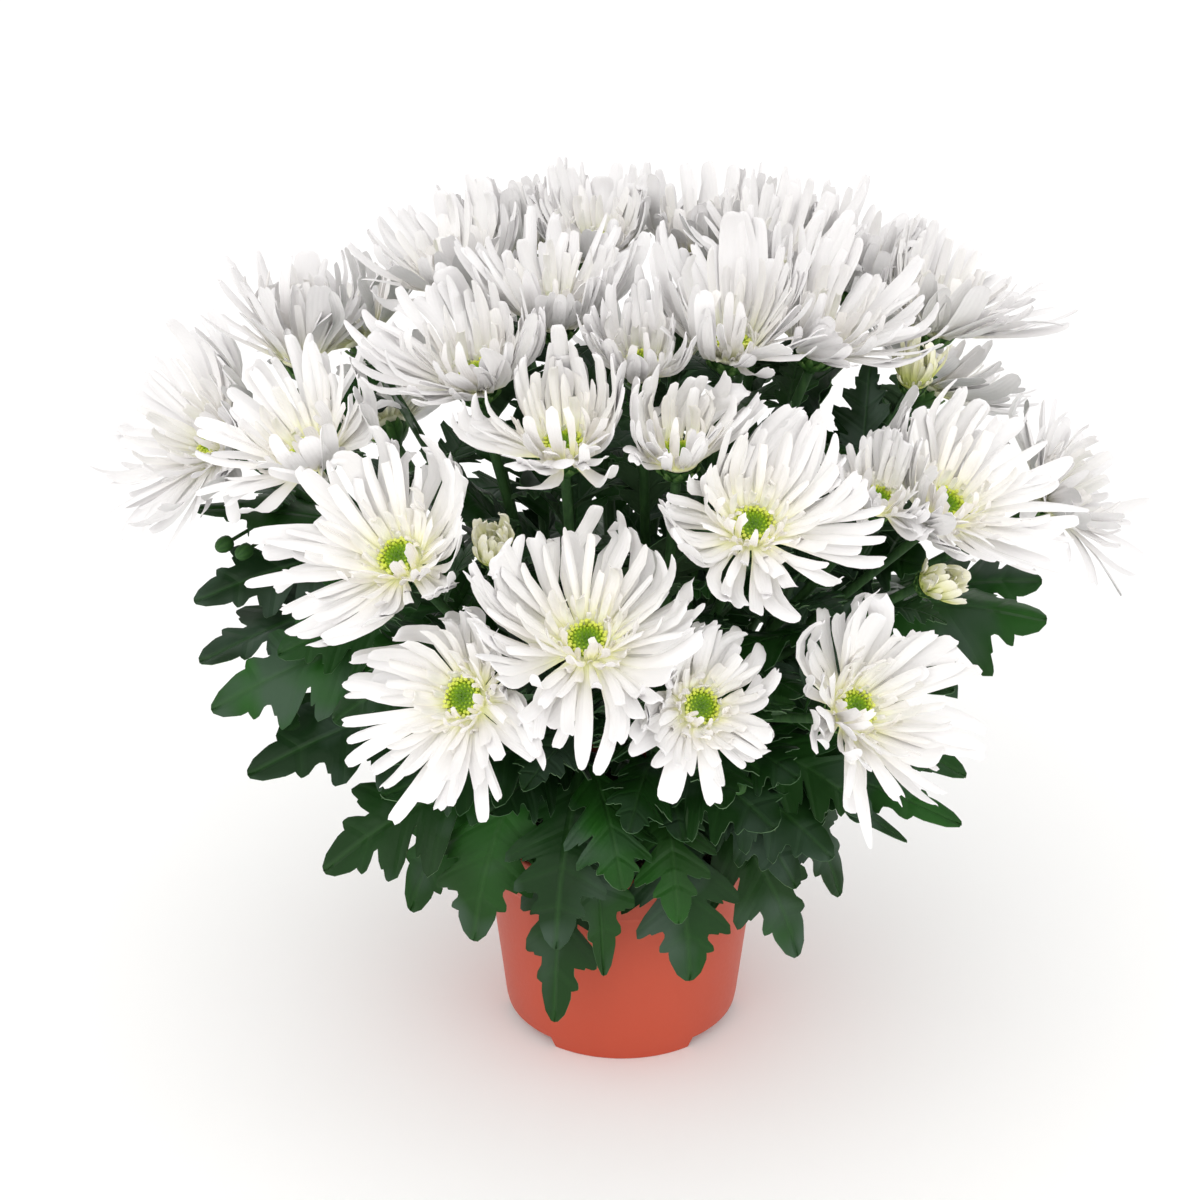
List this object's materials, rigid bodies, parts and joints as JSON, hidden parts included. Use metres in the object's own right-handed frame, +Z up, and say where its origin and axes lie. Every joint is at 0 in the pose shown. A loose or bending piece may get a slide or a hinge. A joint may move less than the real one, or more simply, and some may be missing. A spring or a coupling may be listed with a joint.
{
  "type": "pot chrysanthemum",
  "caption": "Flowering pot plant: white spidery blooms with green discs on leafy branching stems, rooted in soil in a tapered plastic nursery pot that stands on a notched foot ring.",
  "frame": {"origin": "middle of the pot's foot ring, on the surface that the pot stands on", "axes": "+Z up, -Y towards the front that the picture shows, +X to the right seen from the front"},
  "size_m": [0.4122, 0.3821, 0.358],
  "materials": {
    "pot_plastic": "satin",
    "peat": "matte",
    "white_floret": "matte",
    "leaf_green": "satin"
  },
  "bodies": {
    "root": {"bloom_01": "white_floret", "bloom_02": "white_floret", "bloom_03": "white_floret", "bloom_04": "white_floret", "bloom_05": "white_floret", "bloom_06": "white_floret", "bloom_07": "white_floret", "bloom_08": "white_floret", "bloom_09": "white_floret", "bloom_10": "white_floret", "bloom_11": "white_floret", "bloom_12": "white_floret", "bloom_13": "white_floret", "bloom_14": "white_floret", "bloom_15": "white_floret", "bloom_16": "white_floret", "bloom_17": "white_floret", "bloom_18": "white_floret", "bloom_19": "white_floret", "bloom_20": "white_floret", "bloom_21": "white_floret", "bloom_22": "white_floret", "bloom_23": "white_floret", "bloom_24": "white_floret", "bloom_25": "white_floret", "bloom_26": "white_floret", "bloom_27": "white_floret", "bloom_28": "white_floret", "bloom_29": "white_floret", "bloom_30": "white_floret", "bloom_31": "white_floret", "bloom_32": "white_floret", "bloom_33": "white_floret", "bloom_34": "white_floret", "bloom_35": "white_floret", "bloom_36": "white_floret", "bloom_37": "white_floret", "leafy_stem_back": "leaf_green", "leafy_stem_front_left": "leaf_green", "leafy_stem_front_right": "leaf_green", "leafy_stem_left": "leaf_green", "leafy_stem_right": "leaf_green", "pot": "pot_plastic", "soil": "peat"}
  },
  "joints": []
}
